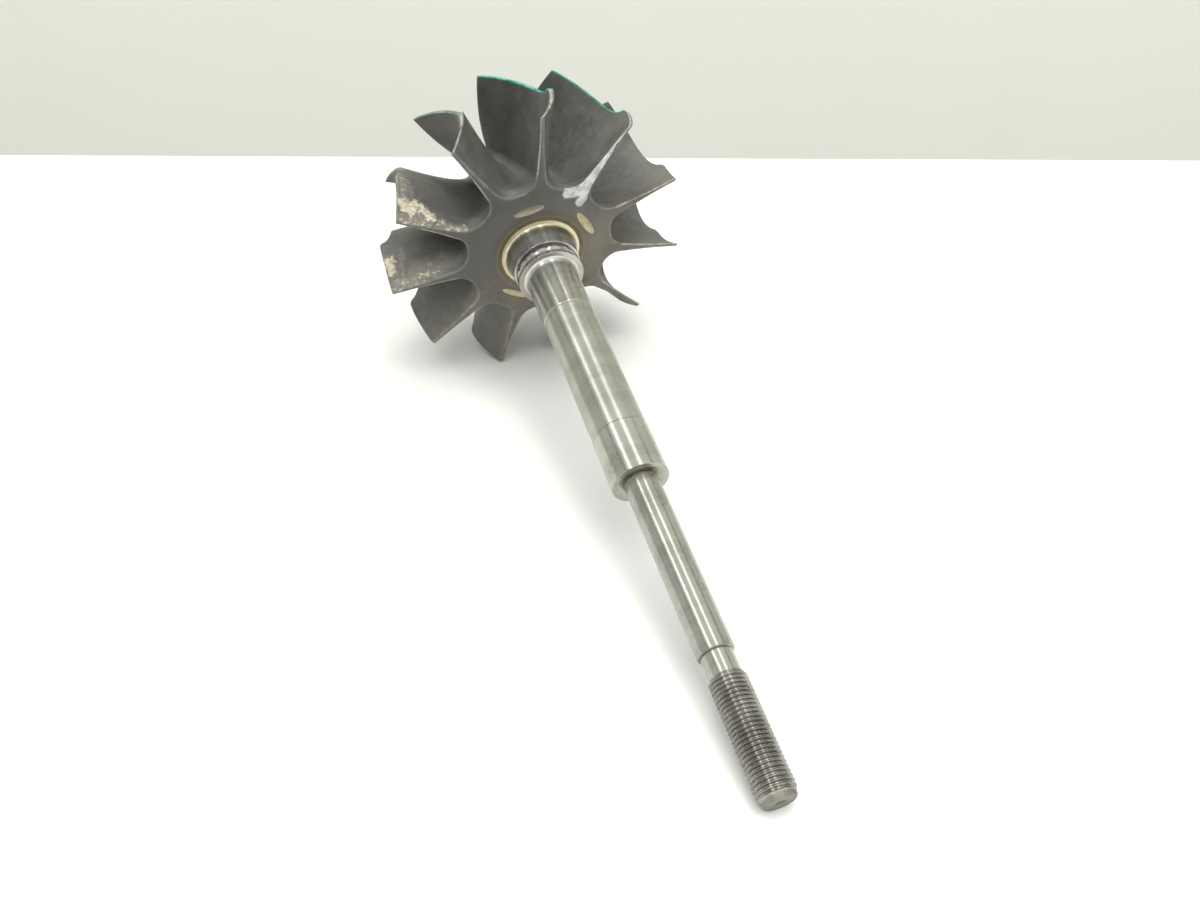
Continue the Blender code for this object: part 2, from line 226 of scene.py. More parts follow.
def rubbedChalk(tree, x, z, station, radius, mottle, grain, colour, look):
    # chalk rubbed along the second blade's rear edge
    ragged = maths(tree, "MULTIPLY", maths(tree, "SUBTRACT", mottle, 0.5), 0.0020)
    turn = maths(tree, "SUBTRACT", maths(tree, "ARCTAN2", x, z), pitch)
    spot = addNode(tree, "ShaderNodeCombineXYZ",
                   {0: maths(tree, "MULTIPLY", radius, maths(tree, "SINE", turn)),
                    1: maths(tree, "MULTIPLY", radius, maths(tree, "COSINE", turn))}).outputs[0]
    chalk = strokeCover(tree, spot, chalkRub, ragged, 1.2, 0.6)
    chalk = maths(tree, "MULTIPLY", chalk, within(tree, station, -0.0012, -0.0007))
    chalk = maths(tree, "MULTIPLY", chalk, within(tree, grain, 0.22, 0.42))
    chalkTone = tint(tree, within(tree, mottle, 0.35, 0.62), look["chalkShade"], look["chalk"])
    return tint(tree, chalk, colour, chalkTone), chalk


def castFinish(name, look, strokes=None, chalked=False):
    material, tree, shader = newMaterial(name)
    local, x, z, station, radius = rotorPlace(tree)
    blotch = noise(tree, local, 85.0, 3.0, 0.6)
    mottle = noise(tree, local, 430.0, 3.0, 0.6)
    grain = noise(tree, local, 1500.0, 2.0, 0.6)
    colour = tint(tree, within(tree, blotch, 0.34, 0.66), look["dark"], look["mid"])
    colour = tint(tree, maths(tree, "MULTIPLY", within(tree, mottle, 0.45, 0.78), 0.55), colour, look["light"])
    # painted shade: the back of the hub is darker at the top; it is also browner down to the right
    lower = within(tree, maths(tree, "SUBTRACT", maths(tree, "MULTIPLY", x, 0.7), z), -0.018, 0.018)
    hubBack = within(tree, station, -0.0030, 0.0004)
    paintedShadeTop = maths(tree, "MULTIPLY", hubBack, maths(tree, "SUBTRACT", 0.85, lower, True))
    colour = tint(tree, paintedShadeTop, colour, look["dark"])
    brown = maths(tree, "MULTIPLY", hubBack, lower)
    brown = maths(tree, "MULTIPLY", brown, within(tree, maths(tree, "ADD", blotch, mottle), 0.55, 1.15))
    colour = tint(tree, maths(tree, "MULTIPLY", brown, look["brownShare"]), colour, look["brown"])
    # pale specks
    specks = within(tree, grain, 0.68, 0.78)
    colour = tint(tree, maths(tree, "MULTIPLY", specks, look["speckShare"]), colour, look["speck"])
    # burnt gold lines round the weld's face: one beside it, a fainter one further out
    outerLine = maths(tree, "MULTIPLY", within(tree, radius, 0.0149, 0.0145), within(tree, radius, 0.0137, 0.0141))
    gold = maths(tree, "ADD", maths(tree, "MULTIPLY", outerLine, 0.45), within(tree, radius, 0.0136, 0.0131))
    gold = maths(tree, "MULTIPLY", gold, within(tree, station, 0.0001, 0.0004))
    gold = maths(tree, "MULTIPLY", gold, within(tree, mottle, 0.2, 0.55))
    colour = tint(tree, maths(tree, "MULTIPLY", gold, 0.8), colour, look["gold"])
    # rubbed edges and painted highlights on rounded edges, in patches
    wearAndHighlight = maths(tree, "MULTIPLY", painted(tree, "wearAndHighlight"), within(tree, mottle, 0.22, 0.60))
    wearAndHighlight = maths(tree, "MULTIPLY", wearAndHighlight, within(tree, blotch, 0.26, 0.50))
    colour = tint(tree, maths(tree, "MULTIPLY", wearAndHighlight, look["wearAndHighlightShare"]), colour, look["wearAndHighlight"])
    # marker paint along the outer edges
    edge = maths(tree, "ADD", painted(tree, "fromEdge"), maths(tree, "MULTIPLY", mottle, 0.0005))
    covered = maths(tree, "MULTIPLY", painted(tree, "paint"), within(tree, edge, 0.00085, 0.00050))
    covered = within(tree, maths(tree, "ADD", covered, maths(tree, "MULTIPLY", mottle, 0.45)), 0.50, 0.80)
    paintTone = tint(tree, within(tree, mottle, 0.35, 0.65), look["paint"], look["paintPale"])
    colour = tint(tree, covered, colour, paintTone)
    if strokes:
        colour, smeared = burntScale(tree, station, radius, strokes, colour, look)
        covered = maths(tree, "MAXIMUM", covered, smeared)
    if chalked:
        colour, smeared = rubbedChalk(tree, x, z, station, radius, mottle, grain, colour, look)
        covered = maths(tree, "MAXIMUM", covered, smeared)
    tree.links.new(colour, shader.inputs["Base Color"])
    bare = maths(tree, "SUBTRACT", 1.0, covered, True)
    tree.links.new(maths(tree, "MULTIPLY", bare, look["metallic"]), shader.inputs["Metallic"])
    sheen = maths(tree, "ADD", look["roughness"], maths(tree, "MULTIPLY", mottle, look["roughnessSpread"]))
    tree.links.new(maths(tree, "ADD", sheen, maths(tree, "MULTIPLY", covered, 0.25)), shader.inputs["Roughness"])
    bumps = relief(tree, mottle, 0.00030, 0.35)
    tree.links.new(relief(tree, grain, 0.00010, 0.75, bumps), shader.inputs["Normal"])
    return material


def turnedFinish(name, look):
    # turned or ground steel: fine rings, smudges and slow changes of tone; bands by station are the boss's heat
    # tints, and painted highlights and a painted shaded line on the journals
    material, tree, shader = newMaterial(name)
    local, x, z, station, radius = rotorPlace(tree)
    ring = addNode(tree, "ShaderNodeCombineXYZ",
                   {0: maths(tree, "MULTIPLY", maths(tree, "ADD", station, radius), look["rings"]),
                    1: maths(tree, "MULTIPLY", x, 60.0), 2: maths(tree, "MULTIPLY", z, 60.0)}).outputs[0]
    rings = noise(tree, ring, 1.0, 3.0, 0.65)
    smudge = noise(tree, local, look["smudges"], 4.0, 0.6, 0.4)
    broad = noise(tree, vectorMaths(tree, "MULTIPLY", local, (60, 140, 60)), 1.0, 2.0)
    colour = tint(tree, within(tree, broad, 0.35, 0.65), look["dark"], look["bright"])
    colour = tint(tree, maths(tree, "MULTIPLY", within(tree, smudge, 0.50, 0.72), look["stainShare"]),
                  colour, look["stain"])
    colour = tint(tree, maths(tree, "MULTIPLY", within(tree, rings, 0.35, 0.65), look["ringShare"]),
                  colour, look["ringTone"])
    for start, end, fade, share, tone in look["bands"]:
        band = maths(tree, "MULTIPLY", within(tree, station, start - fade, start + fade),
                     within(tree, station, end + fade, end - fade))
        colour = tint(tree, maths(tree, "MULTIPLY", band, share), colour, tone)
    if "shade" in look:
        # a browner stretch up and to the left
        upLeft = within(tree, maths(tree, "SUBTRACT", z, maths(tree, "MULTIPLY", x, 0.6)), 0.006, 0.013)
        colour = tint(tree, maths(tree, "MULTIPLY", upLeft, look["shadeShare"]), colour, look["shade"])
    tree.links.new(colour, shader.inputs["Base Color"])
    shader.inputs["Metallic"].default_value = look["metallic"]
    # the fine rings smear reflections along the axis, and outwards on end faces
    shader.inputs["Anisotropic"].default_value = 0.8
    outwards = vectorMaths(tree, "NORMALIZE", vectorMaths(tree, "MULTIPLY", local, (1, 0, 1)), (0, 0, 0))
    across = addNode(tree, "ShaderNodeMapping", {"Vector": vectorMaths(tree, "ADD", outwards, (0, -1.7, 0)),
                                                 "Rotation": (rotor["slope"], 0, 0)}, vector_type="VECTOR")
    tree.links.new(across.outputs[0], shader.inputs["Tangent"])
    sheen = maths(tree, "ADD", look["roughness"], maths(tree, "MULTIPLY", within(tree, smudge, 0.4, 0.75),
                                                        look["dulling"]))
    tree.links.new(maths(tree, "ADD", sheen, maths(tree, "MULTIPLY", rings, 0.06)), shader.inputs["Roughness"])
    bumps = relief(tree, noise(tree, local, 900.0, 2.0), 0.00002, look["pits"])
    tree.links.new(relief(tree, rings, look["ringDepth"], 0.5, bumps), shader.inputs["Normal"])
    return material


print("finishes")
castLook = {
    "dark": (0.086, 0.084, 0.076), "mid": (0.125, 0.121, 0.109), "light": (0.165, 0.159, 0.143),
    "brown": (0.185, 0.155, 0.112), "brownShare": 0.65, "speck": (0.30, 0.29, 0.26), "speckShare": 0.35,
    "gold": (0.27, 0.20, 0.09), "wearAndHighlight": (0.46, 0.45, 0.41), "wearAndHighlightShare": 0.8,
    "scale": (0.28, 0.26, 0.215), "scaleShare": 0.65, "cream": (0.62, 0.575, 0.44), "straw": (0.38, 0.335, 0.235),
    "chalk": (0.66, 0.68, 0.67), "chalkShade": (0.40, 0.425, 0.415),
    "paint": (0.020, 0.215, 0.150), "paintPale": (0.085, 0.36, 0.27),
    "metallic": 0.3, "roughness": 0.36, "roughnessSpread": 0.3,
}
castSkins = [castFinish("castSkin", castLook), castFinish("castSkinScaledLeft", castLook, leftScale),
             castFinish("castSkinScaledLower", castLook, lowerScale),
             castFinish("castSkinChalked", castLook, chalked=True)]
cutStraw = turnedFinish("cutStraw", {
    "dark": (0.34, 0.285, 0.16), "bright": (0.54, 0.48, 0.31), "stain": (0.24, 0.18, 0.10), "stainShare": 0.5,
    "rings": 5000.0, "ringShare": 0.3, "ringTone": (0.60, 0.54, 0.38), "smudges": 420.0, "bands": (),
    "metallic": 0.4, "roughness": 0.38, "dulling": 0.15, "pits": 0.4, "ringDepth": 0.00002,
})
cutBrown = turnedFinish("cutBrown", {
    "dark": (0.17, 0.145, 0.11), "bright": (0.29, 0.25, 0.19), "stain": (0.13, 0.10, 0.07), "stainShare": 0.5,
    "rings": 5000.0, "ringShare": 0.3, "ringTone": (0.38, 0.34, 0.26), "smudges": 420.0, "bands": (),
    "metallic": 0.4, "roughness": 0.38, "dulling": 0.15, "pits": 0.4, "ringDepth": 0.00002,
})
weldStraw = turnedFinish("weldStraw", {
    "dark": (0.60, 0.52, 0.32), "bright": (0.80, 0.74, 0.54), "stain": (0.40, 0.31, 0.16), "stainShare": 0.3,
    "rings": 6000.0, "ringShare": 0.25, "ringTone": (0.88, 0.83, 0.66), "smudges": 320.0, "bands": (),
    "shade": (0.33, 0.28, 0.215), "shadeShare": 0.75,
    "metallic": 0.35, "roughness": 0.36, "dulling": 0.12, "pits": 0.4, "ringDepth": 0.00001,
})
bossTint = turnedFinish("bossTint", {
    "dark": (0.43, 0.42, 0.415), "bright": (0.56, 0.55, 0.54), "stain": (0.32, 0.31, 0.305), "stainShare": 0.3,
    "rings": 6000.0, "ringShare": 0.2, "ringTone": (0.66, 0.65, 0.64), "smudges": 240.0,
    "bands": ((0.0, 0.0038, 0.0012, 0.85, (0.27, 0.255, 0.175)), (0.0, 0.0018, 0.0004, 0.8, (0.74, 0.69, 0.48))),
    "metallic": 1.0, "roughness": 0.21, "dulling": 0.05, "pits": 0.06, "ringDepth": 0.000003,
})
grooveSteel = turnedFinish("grooveSteel", {
    "dark": (0.05, 0.05, 0.048), "bright": (0.10, 0.10, 0.095), "stain": (0.03, 0.025, 0.02), "stainShare": 0.5,
    "rings": 6000.0, "ringShare": 0.2, "ringTone": (0.15, 0.15, 0.14), "smudges": 300.0, "bands": (),
    "metallic": 0.9, "roughness": 0.35, "dulling": 0.2, "pits": 0.4, "ringDepth": 0.00001,
})
landSteel = turnedFinish("landSteel", {
    "dark": (0.36, 0.345, 0.325), "bright": (0.45, 0.435, 0.41), "stain": (0.26, 0.245, 0.225), "stainShare": 0.35,
    "rings": 7000.0, "ringShare": 0.3, "ringTone": (0.54, 0.525, 0.495), "smudges": 260.0, "bands": (),
    "metallic": 1.0, "roughness": 0.15, "dulling": 0.06, "pits": 0.06, "ringDepth": 0.000004,
})
firstJournalSteel = turnedFinish("firstJournalSteel", {
    "dark": (0.27, 0.265, 0.235), "bright": (0.35, 0.345, 0.305), "stain": (0.22, 0.21, 0.175), "stainShare": 0.35,
    "rings": 7000.0, "ringShare": 0.25, "ringTone": (0.43, 0.425, 0.38), "smudges": 160.0,
    # painted highlights: a pale band on the fillet at the journal's start and a pale line on the chamfer at its end
    "bands": ((0.0, 0.0143, 0.0003, 0.55, (0.85, 0.84, 0.78)), (0.0314, 0.0318, 0.0001, 0.35, (0.80, 0.79, 0.72))),
    "metallic": 1.0, "roughness": 0.25, "dulling": 0.06, "pits": 0.08, "ringDepth": 0.000006,
})
journalSteel = turnedFinish("journalSteel", {
    "dark": (0.34, 0.338, 0.30), "bright": (0.42, 0.418, 0.37), "stain": (0.27, 0.265, 0.22), "stainShare": 0.4,
    "rings": 7000.0, "ringShare": 0.25, "ringTone": (0.50, 0.495, 0.44), "smudges": 160.0,
    # painted shade: a dark line just past the step up from the relieved middle
    "bands": ((0.0, 0.0788, 0.0001, 0.6, (0.14, 0.14, 0.12)),),
    "metallic": 1.0, "roughness": 0.20, "dulling": 0.06, "pits": 0.08, "ringDepth": 0.000006,
})
middleSteel = turnedFinish("middleSteel", {
    "dark": (0.33, 0.328, 0.285), "bright": (0.41, 0.407, 0.357), "stain": (0.28, 0.275, 0.225), "stainShare": 0.4,
    "rings": 3500.0, "ringShare": 0.35, "ringTone": (0.48, 0.475, 0.42), "smudges": 110.0, "bands": (),
    "metallic": 1.0, "roughness": 0.30, "dulling": 0.05, "pits": 0.12, "ringDepth": 0.000010,
})
spindleSteel = turnedFinish("spindleSteel", {
    "dark": (0.30, 0.297, 0.262), "bright": (0.38, 0.376, 0.335), "stain": (0.24, 0.23, 0.19), "stainShare": 0.35,
    "rings": 7000.0, "ringShare": 0.25, "ringTone": (0.49, 0.485, 0.435), "smudges": 200.0, "bands": (),
    "metallic": 1.0, "roughness": 0.21, "dulling": 0.06, "pits": 0.08, "ringDepth": 0.000006,
})
threadSteel = turnedFinish("threadSteel", {
    "dark": (0.21, 0.20, 0.182), "bright": (0.33, 0.322, 0.296), "stain": (0.13, 0.11, 0.09), "stainShare": 0.5,
    "rings": 5000.0, "ringShare": 0.2, "ringTone": (0.44, 0.43, 0.405), "smudges": 420.0, "bands": (),
    "metallic": 1.0, "roughness": 0.18, "dulling": 0.12, "pits": 0.3, "ringDepth": 0.00001,
})
endFaceSteel = turnedFinish("endFaceSteel", {
    "dark": (0.16, 0.155, 0.125), "bright": (0.25, 0.245, 0.205), "stain": (0.10, 0.09, 0.07), "stainShare": 0.6,
    "rings": 6000.0, "ringShare": 0.3, "ringTone": (0.33, 0.32, 0.28), "smudges": 400.0, "bands": (),
    "metallic": 0.8, "roughness": 0.42, "dulling": 0.12, "pits": 0.5, "ringDepth": 0.00002,
})

# Wheel casting: one skin of passages, fillets and blade edges all the way round
wheel = {
    "radius": 0.048,            # over the inlet edges
    "inletWidth": 0.0154,
    "outletRadius": 0.042,
    "outletDepth": 0.0362,
    "rootDepth": 0.0410,
    "shroudPull": 0.645,
    "cornerEase": 0.0019,       # rounding of the inlet's front corner
    "lean": (978.0, -25000.0, -341000.0),   # degrees for a metre, its square and its cube
    "edgeHalf": (0.00062, 0.00085, 0.00062, 0.00050),   # at the back, front corner, shroud and outlet
    "rootHalf": 0.0022,         # half the thickness near the hub
    "outletThinning": 0.45,
    "discRadius": 0.0278,
    "discRim": 0.0016,
    "scallopFloor": 0.0236,
    "scallopRim": 0.0034,       # depth where a scallop meets the hub's flow surface
    "rimEase": 0.0012,
    "backFillet": 0.0040,
    "midFillet": 0.0034,
    "outletFillet": 0.0018,
    "hubOutlet": 0.0132,
    "backEase": 0.00045,        # rounding of the back edges
    "backBorder": 0.00035,      # flat strip inside that rounding
    "leastHalf": 0.00006,
    "trailingEase": 0.0007,
    "leadingCrown": 0.8,        # share of the half thickness
    "shroudCrown": 0.00008,
}
layout = {
    "floorColumns": 6, "filletColumns": 6, "wallColumns": 20, "tipColumns": 4,
    "backRows": 4, "flowRows": 60, "trailingRows": 4,
    "hubRings": ((0.0212, 0.00003), (0.0200, 0.00016), (0.0185, 0.00045), (0.0172, 0.00072),
                 (0.0160, 0.00090), (0.0148, 0.00096), (0.0142, 0.00098), (0.0136, 0.00094),
                 (0.0132, 0.00078), (0.0129, 0.00052), (0.0124, 0.00048)),
    "noseRings": ((0.0132, 0.0416), (0.0131, 0.0420), (0.0128, 0.0425), (0.0122, 0.0432),
                  (0.0112, 0.0440), (0.0102, 0.0444), (0.0097, 0.0447), (0.0095, 0.0451),
                  (0.0095, 0.0474), (0.0094, 0.0478), (0.0090, 0.0481), (0.0020, 0.0481),
                  (0.0014, 0.0477), (0.0012, 0.0456), (0.0002, 0.0450)),
    "discRing": 0.0220,
}
handling = {
    # how strongly the marker paint still shows on each blade's outer edge, from the top one clockwise
    "paint": (1.0, 1.0, 0.34, 0.3, 0.15, 0.1, 0.15, 0.2, 0.26, 0.32, 0.37),
    "scaledBlades": {9: 1, 8: 2}, "chalkedBlade": 1, "chalkSkin": 3,     # blade: place in castSkins
    # the light lines on one side of each rear edge and round the scallop rims are painted highlights; leading and
    # shroud edges are wear
    "leftRearHighlight": 0.9, "rightRearHighlight": 0.25, "scallopRimHighlight": 0.18,
    "leadingWear": 0.75, "shroudWear": 0.45,
}


def smoothStep(value, low, high):
    share = max(0.0, min(1.0, (value - low) / (high - low)))
    return share * share * (3 - 2 * share)


def mix(first, second, share):
    return first + (second - first) * share


def leanAt(depth):
    first, second, third = wheel["lean"]
    return math.radians(first * depth + second * depth**2 + third * depth**3)


def hubPoint(turn):
    span = wheel["rootDepth"] - wheel["discRim"]
    drop = wheel["discRadius"] - wheel["hubOutlet"]
    depth = wheel["discRim"] + span * (1 - math.cos(turn)) ** 0.8
    return Vector((depth, wheel["hubOutlet"] + drop * (1 - math.sin(turn)) ** 1.3))


def hubRadius(depth):
    span = wheel["rootDepth"] - wheel["discRim"]
    travel = max(0.0, min(1.0, (depth - wheel["discRim"]) / span))
    return hubPoint(math.acos(1 - travel ** 1.25)).y


def shroudPoint(share):
    start = Vector((wheel["inletWidth"], wheel["radius"]))
    end = Vector((wheel["outletDepth"], wheel["outletRadius"]))
    inwards = start + Vector((0, wheel["shroudPull"] * (end.y - start.y)))
    along = end - Vector((wheel["shroudPull"] * (end.x - start.x), 0))
    rest = 1 - share
    return rest**3 * start + 3 * rest**2 * share * inwards + 3 * rest * share**2 * along + share**3 * end


def easeCorner(points, corner, reach):
    # replaces the points near a corner by a smooth arc
    here = points[corner]
    kept = [point for point in points[:corner] if (point - here).length > reach]
    rest = [point for point in points[corner + 1:] if (point - here).length > reach]
    start, end = kept[-1], rest[0]
    arc = [start.lerp(here, share / 8).lerp(here.lerp(end, share / 8), share / 8) for share in range(1, 8)]
    return kept + arc + rest


def spaceEvenly(points, count):
    lengths = [0.0]
    for here, there in zip(points, points[1:]):
        lengths.append(lengths[-1] + (there - here).length)
    spaced = []
    index = 0
    for step in range(count + 1):
        goal = lengths[-1] * step / count
        while index < len(points) - 2 and lengths[index + 1] < goal:
            index += 1
        share = (goal - lengths[index]) / (lengths[index + 1] - lengths[index])
        spaced.append(points[index].lerp(points[index + 1], min(1.0, share)))
    return spaced


def trimPast(points, depth):
    kept = [point for point in points if point.x < depth - 0.00005]
    following = points[len(kept)]
    share = (depth - kept[-1].x) / (following.x - kept[-1].x)
    return kept + [kept[-1].lerp(following, share)]


def flowLines():
    # the passage's floor and the blade's outer edge, as (depth, radius) points
    start = wheel["backEase"]
    outer = [Vector((mix(start, wheel["inletWidth"], step / 60), wheel["radius"])) for step in range(61)]
    outer += [shroudPoint(step / 120) for step in range(1, 121)]
    outer = easeCorner(outer, 60, wheel["cornerEase"])
    outer = trimPast(outer, wheel["outletDepth"] - wheel["trailingEase"])
    floor = wheel["scallopFloor"]
    inner = [Vector((mix(start, wheel["scallopRim"], step / 12), floor)) for step in range(13)]
    flow = [hubPoint(math.pi / 2 * step / 300) for step in range(301)]
    inner += [point for point in flow if point.y < floor - 0.00005 and point.x > wheel["scallopRim"] + 0.00005]
    inner = easeCorner(inner, 12, wheel["rimEase"])
    inner = trimPast(inner, wheel["rootDepth"] - wheel["trailingEase"])
    return spaceEvenly(inner, layout["flowRows"]), spaceEvenly(outer, layout["flowRows"])


def castingRows():
    inner, outer = flowLines()
    last = layout["flowRows"]
    rows = []

    def addRow(index, floor, tip, shrink, closing, back):
        run = outer[min(last, index + 1)] - outer[max(0, index - 1)]
        outward = Vector((-run.y, run.x)).normalized()
        rows.append({"floor": floor, "tip": tip, "outward": outward, "along": index / last,
                     "shrink": shrink, "closing": closing, "back": back})

    border = wheel["backEase"] + wheel["backBorder"]
    addRow(0, Vector((0, inner[0].y - border)), Vector((0, outer[0].y - border)), border, 1.0, False)
    for step in range(layout["backRows"]):
        angle = math.pi / 2 * step / layout["backRows"]
        shrink = wheel["backEase"] * (1 - math.sin(angle))
        depth = wheel["backEase"] * (1 - math.cos(angle))
        addRow(0, Vector((depth, inner[0].y - shrink)), Vector((depth, outer[0].y - shrink)), shrink, 1.0, True)
    for index in range(last + 1):
        addRow(index, inner[index], outer[index], 0.0, 1.0, False)
    for step in range(1, layout["trailingRows"] + 1):
        angle = math.pi / 2 * step / layout["trailingRows"]
        ahead = Vector((wheel["trailingEase"] * math.sin(angle), 0))
        addRow(last, inner[last] + ahead, outer[last] + ahead, 0.0, math.cos(angle), False)
    return rows


def castingColumns():
    # one pitch, from the middle of a blade's edge to the middle of the next one's
    half = [("tip", 1 - step / layout["tipColumns"]) for step in range(layout["tipColumns"])]
    half += [("wall", 1 - step / layout["wallColumns"]) for step in range(layout["wallColumns"])]
    half += [("fillet", 1 - step / layout["filletColumns"]) for step in range(layout["filletColumns"])]
    floors = layout["floorColumns"] // 2
    half += [("floor", 1 - step / floors) for step in range(floors)]
    left = [(kind, share, -1) for kind, share in half]
    right = [(kind, share, 1) for kind, share in half[:0:-1]]
    return left + [("floor", 0.0, 1)] + right


def edgeHalfAt(along):
    back, corner, shroud, outlet = wheel["edgeHalf"]
    half = mix(back, corner, smoothStep(along, 0.05, 0.33))
    half = mix(half, shroud, smoothStep(along, 0.37, 0.50))
    return mix(half, outlet, smoothStep(along, 0.60, 1.0))


def castingPoint(row, kind, share):
    # (depth, radius), the angle from the passage's middle, and the distance from the outer edge
    floor, tip, along = row["floor"], row["tip"], row["along"]
    height = (tip - floor).length
    fillet = mix(wheel["backFillet"], wheel["midFillet"], smoothStep(along, 0.04, 0.28))
    fillet = min(mix(fillet, wheel["outletFillet"], smoothStep(along, 0.3, 1.0)), 0.8 * height)
    angle = share * math.pi / 2
    rise = {"floor": 0.0, "fillet": fillet * (1 - math.cos(angle)),
            "wall": mix(fillet, height, share), "tip": height}[kind]
    spot = floor.lerp(tip, rise / height)
    room = wheel["radius"] - min(hubRadius(spot.x), wheel["scallopFloor"])
    full = max(0.0, min(1.0, (wheel["radius"] - spot.y) / room)) ** 2
    full *= 1 - wheel["outletThinning"] * (spot.x / wheel["rootDepth"]) ** 2
    half = mix(edgeHalfAt(along), wheel["rootHalf"], full) * row["closing"]
    half = max(half - row["shrink"], min(half, wheel["leastHalf"]))
    gap = pitch * spot.y / 2 - half
    width = min(fillet, 0.93 * gap) * row["closing"]
    if kind == "floor":
        away = (gap - width) * share
    elif kind == "fillet":
        away = gap - width * (1 - math.sin(angle))
    elif kind == "wall":
        away = gap
    else:
        shroud = smoothStep(along, 0.30, 0.40)
        crown = mix(half * wheel["leadingCrown"], wheel["shroudCrown"], shroud)
        away = gap + half * (1 - math.cos(angle) ** mix(1.0, 0.35, shroud))
        spot = spot + row["outward"] * crown * (math.sin(angle) - 1)
    return spot, away / spot.y, height - rise


# wear and painted highlight for a row: painted light lines along the rear edges and scallop rims, wear along the
# leading and shroud edges
def castingWearAndHighlight(row, kind, side):
    if row["back"]:
        if kind in ("floor", "fillet"):
            return handling["scallopRimHighlight"]
        return handling["leftRearHighlight"] if side > 0 else handling["rightRearHighlight"]
    if kind == "tip":
        return mix(handling["leadingWear"], handling["shroudWear"], smoothStep(row["along"], 0.30, 0.40))
    return 0.0


def skinOf(face):
    # which of the casting's skins a face has: scale on a blade's clockwise side, chalk on a rear edge
    middle = face.calc_center_median()
    depth, radius, angle = middle.y, middle.xz.length, math.atan2(middle.x, middle.z)
    blade, share = divmod((angle - leanAt(max(0.0, depth))) / pitch, 1.0)
    if share < 0.5 and depth > 0.00001 and radius > 0.024:
        return handling["scaledBlades"].get(int(blade) % rotor["blades"], 0)
    if depth < 0.0012 and radius > 0.0175 and abs(angle / pitch - handling["chalkedBlade"]) < 0.6:
        return handling["chalkSkin"]
    return 0


def growRings(form, edges, rings, sign):
    # extrudes a ring of edges through (radius, distance) steps and closes it on the axis
    for radius, distance in rings:
        made = bmesh.ops.extrude_edge_only(form, edges=edges)["geom"]
        edges = [item for item in made if isinstance(item, bmesh.types.BMEdge)]
        for corner in {corner for edge in edges for corner in edge.verts}:
            scale = radius / corner.co.xz.length
            corner.co = (corner.co.x * scale, sign * distance, corner.co.z * scale)
    bmesh.ops.edgeloop_fill(form, edges=edges)


def castingForm():
    rows, columns = castingRows(), castingColumns()
    section = [[castingPoint(row, kind, share) for kind, share, side in columns] for row in rows]
    across = len(columns) * rotor["blades"]
    form = bmesh.new()
    fromEdge = form.verts.layers.float.new("fromEdge")
    wearAndHighlight = form.verts.layers.float.new("wearAndHighlight")
    paint = form.verts.layers.float.new("paint")
    made = bmesh.ops.create_grid(form, x_segments=across, y_segments=len(rows) - 1, size=0.5)
    for corner in made["verts"]:
        passage, place = divmod(round((corner.co.x + 0.5) * across), len(columns))
        rowIndex = round((corner.co.y + 0.5) * (len(rows) - 1))
        kind, share, side = columns[place]
        spot, away, edge = section[rowIndex][place]
        turn = (passage + 0.5) * pitch + side * away + leanAt(spot.x)
        corner.co = (spot.y * math.sin(turn), spot.x, spot.y * math.cos(turn))
        blade = (passage + (1 if side > 0 else 0)) % rotor["blades"]
        corner[fromEdge] = edge
        corner[wearAndHighlight] = castingWearAndHighlight(rows[rowIndex], kind, side)
        corner[paint] = handling["paint"][blade] * smoothStep(rows[rowIndex]["along"], 0.34, 0.38)
    bmesh.ops.remove_doubles(form, verts=form.verts, dist=2e-6)
    rim = [edge for edge in form.edges if edge.is_boundary]
    backRim = [edge for edge in rim if edge.verts[0].co.y < 0.001]
    hubRim = [edge for edge in rim if edge.verts[0].co.y > 0.03]
    disc = bmesh.ops.create_circle(form, segments=88, radius=layout["discRing"], cap_ends=False,
                                   matrix=Matrix.Rotation(math.pi / 2, 4, "X"))["verts"]
    ring = list({edge for corner in disc for edge in corner.link_edges})
    bmesh.ops.triangle_fill(form, edges=backRim + ring, use_beauty=True, use_dissolve=False)
    growRings(form, ring, layout["hubRings"], -1)
    growRings(form, hubRim, layout["noseRings"], 1)
    bmesh.ops.recalc_face_normals(form, faces=form.faces)
    for face in form.faces:
        face.material_index = skinOf(face)
    print("wheel casting:", len(form.faces), "faces,", sum(edge.is_boundary for edge in form.edges), "open edges")
    return form


casting = makePiece(castingForm(), "wheelCasting", castSkins,
                    ["wheel_hub", "wheel_nose"] + [f"blade_{n + 1:02d}" for n in range(rotor["blades"])])

# Balance cuts ground into the back of the hub, each the mark of a small round grinding stone
balance = {
    "pitches": (-0.39, 1.78, 6.37), "radius": (0.0177, 0.0172, 0.0174),
    "stone": (0.0070, 0.0014, 0.0016),      # half lengths round the hub, along the axis and outwards
    "above": 0.00085, "face": 0.00068, "tilt": math.radians(9),
}
grinder = bmesh.new()
for index, (pitches, radius) in enumerate(zip(balance["pitches"], balance["radius"])):
    place = (layDown @ Matrix.Rotation(pitches * pitch, 4, "Y")
             @ Matrix.Translation((0, -balance["face"] - balance["above"], radius))
             @ Matrix.Rotation(balance["tilt"], 4, "X") @ Matrix.Diagonal((*balance["stone"], 1)))
    made = bmesh.ops.create_uvsphere(grinder, u_segments=64, v_segments=40, radius=1.0, matrix=place)
    for face in {face for corner in made["verts"] for face in corner.link_faces}:
        face.material_index = index
grinderMesh = bpy.data.meshes.new("grinder")
grinder.to_mesh(grinderMesh)
grinder.free()
for material in (cutBrown, cutStraw, cutStraw):
    grinderMesh.materials.append(material)
grinderPiece = bpy.data.objects.new("grinder", grinderMesh)
bpy.context.scene.collection.objects.link(grinderPiece)
cut = casting.modifiers.new("balanceCuts", "BOOLEAN")
cut.operation, cut.solver, cut.object = "DIFFERENCE", "EXACT", grinderPiece
cut.material_mode = "TRANSFER"
